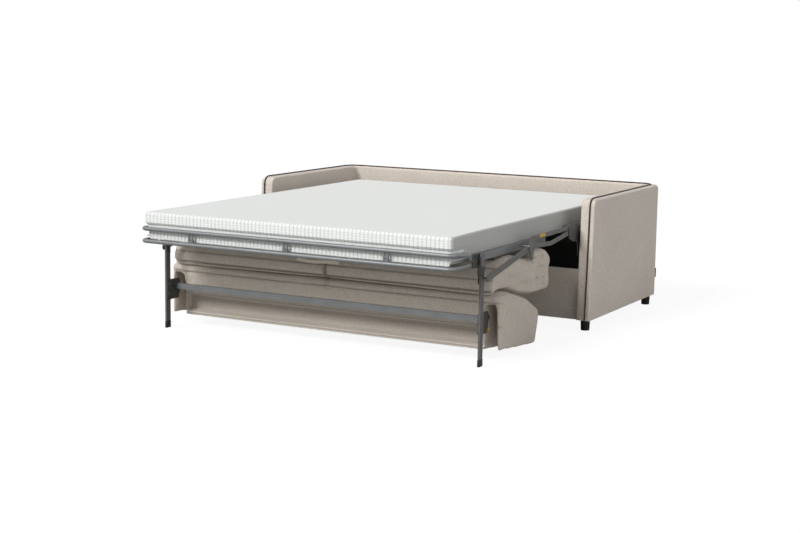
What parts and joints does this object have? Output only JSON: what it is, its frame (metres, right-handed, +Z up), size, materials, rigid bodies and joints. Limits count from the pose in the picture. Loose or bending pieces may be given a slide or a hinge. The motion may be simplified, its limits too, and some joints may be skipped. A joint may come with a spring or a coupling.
{
  "type": "sleeper sofa with turn-over bed",
  "caption": "Slim-armed upholstered sofa shown with its folding bed pulled out: steel frame, mattress, foot legs, seat unit and backrest hanging beneath.",
  "frame": {"origin": "centre of the whole open object's outline on the floor", "axes": "+X to the viewer's right along the backrest, +Y to the sofa's back, +Z up"},
  "size_m": [1.923, 2.218, 0.6608],
  "materials": {
    "upholstery": "woven beige-grey upholstery fabric",
    "cushion_fabric": "the same woven fabric on seat unit and backrest",
    "piping": "dark brown corded piping",
    "mattress_knit": "white knitted ticking",
    "grey_steel": "grey powder-coated tube and bar",
    "dark_steel": "dark painted plate",
    "zinc_steel": "zinc plated wire and pins",
    "black_plastic": "moulded black feet and leg tips",
    "board": "plain board"
  },
  "bodies": {
    "sofa_shell": {"arm_left": "upholstery", "arm_right": "upholstery", "back_panel": "upholstery", "base_front_panel": "upholstery", "foot_front_left": "black_plastic", "foot_front_right": "black_plastic", "foot_rear_left": "black_plastic", "foot_rear_right": "black_plastic", "head_guide_front_left": "zinc_steel", "head_guide_front_right": "zinc_steel", "head_guide_rear_left": "zinc_steel", "head_guide_rear_right": "zinc_steel", "piping": "piping", "pivot_bracket_left": "dark_steel", "pivot_bracket_right": "dark_steel"},
    "backrest": {"backrest_block": "cushion_fabric", "backrest_cushion_left": "cushion_fabric", "backrest_cushion_right": "cushion_fabric", "hinge_collar_left": "dark_steel", "hinge_collar_right": "dark_steel"},
    "braces": {"brace_left": "grey_steel", "brace_right": "grey_steel"},
    "leg_frame": {"crossbar": "grey_steel", "leg_left": "grey_steel", "leg_plate_left": "dark_steel", "leg_plate_right": "dark_steel", "leg_right": "grey_steel", "leg_tip_left": "black_plastic", "leg_tip_right": "black_plastic"},
    "end_section": {"end_grid": "zinc_steel", "end_gusset_left": "dark_steel", "end_gusset_right": "dark_steel", "end_tube": "grey_steel", "guard_rail": "grey_steel", "guard_strap_1": "grey_steel", "guard_strap_2": "grey_steel", "guard_strap_3": "grey_steel", "mattress_foot": "mattress_knit"},
    "head_section": {"head_grid": "zinc_steel", "head_rail_left": "grey_steel", "head_rail_right": "grey_steel", "head_stub_front_left": "zinc_steel", "head_stub_front_right": "zinc_steel", "head_stub_rear_left": "zinc_steel", "head_stub_rear_right": "zinc_steel", "mattress_fold": "mattress_knit", "mattress_head": "mattress_knit"},
    "seat_section": {"mattress_seat": "mattress_knit", "seat_apron": "cushion_fabric", "seat_board": "board", "seat_cross_front": "grey_steel", "seat_cross_rear": "grey_steel", "seat_cushion_left": "cushion_fabric", "seat_cushion_right": "cushion_fabric", "seat_grid": "zinc_steel", "seat_rail_left": "grey_steel", "seat_rail_right": "grey_steel"},
    "swing_arms": {"swing_arm_left": "grey_steel", "swing_arm_right": "grey_steel"}
  },
  "joints": [
    {"name": "bed_fold", "type": "hinge", "parent": "sofa_shell", "child": "swing_arms", "pos_m": [0, 0.044, 0.495], "axis": [1, 0, 0], "range_deg": [-211.85, 0], "deforming": ["mattress_fold"]},
    {"name": "head_slide", "type": "slide", "parent": "sofa_shell", "child": "head_section", "axis": [0, 0.2446, -0.9696], "range_m": [0, 0.4498]},
    {"name": "seat_turn", "type": "hinge", "parent": "swing_arms", "child": "seat_section", "pos_m": [0, -0.416, 0.48], "axis": [1, 0, 0], "range_deg": [0, 31.86]},
    {"name": "leg_turn", "type": "hinge", "parent": "seat_section", "child": "leg_frame", "pos_m": [0, -0.868, 0.48], "axis": [1, 0, 0], "range_deg": [0, 6.01]},
    {"name": "brace_turn", "type": "hinge", "parent": "leg_frame", "child": "braces", "pos_m": [0, -0.859, 0.392], "axis": [1, 0, 0], "range_deg": [-6.01, 0]},
    {"name": "backrest_turn", "type": "hinge", "parent": "leg_frame", "child": "backrest", "pos_m": [0, -0.813, 0.2], "axis": [1, 0, 0], "range_deg": [-106.02, 0]},
    {"name": "end_fold", "type": "hinge", "parent": "seat_section", "child": "end_section", "pos_m": [0, -0.868, 0.48], "axis": [1, 0, 0], "range_deg": [0, 98.02]}
  ],
  "couplings": [
    {"joint": "head_slide", "follows": "bed_fold", "m_per_rad": -0.12161},
    {"joint": "seat_turn", "follows": "bed_fold", "ratio": -0.15034},
    {"joint": "leg_turn", "follows": "bed_fold", "ratio": -0.028322},
    {"joint": "brace_turn", "follows": "bed_fold", "ratio": 0.028322},
    {"joint": "backrest_turn", "follows": "bed_fold", "ratio": 0.50035},
    {"joint": "end_fold", "follows": "bed_fold", "ratio": -0.46259}
  ]
}
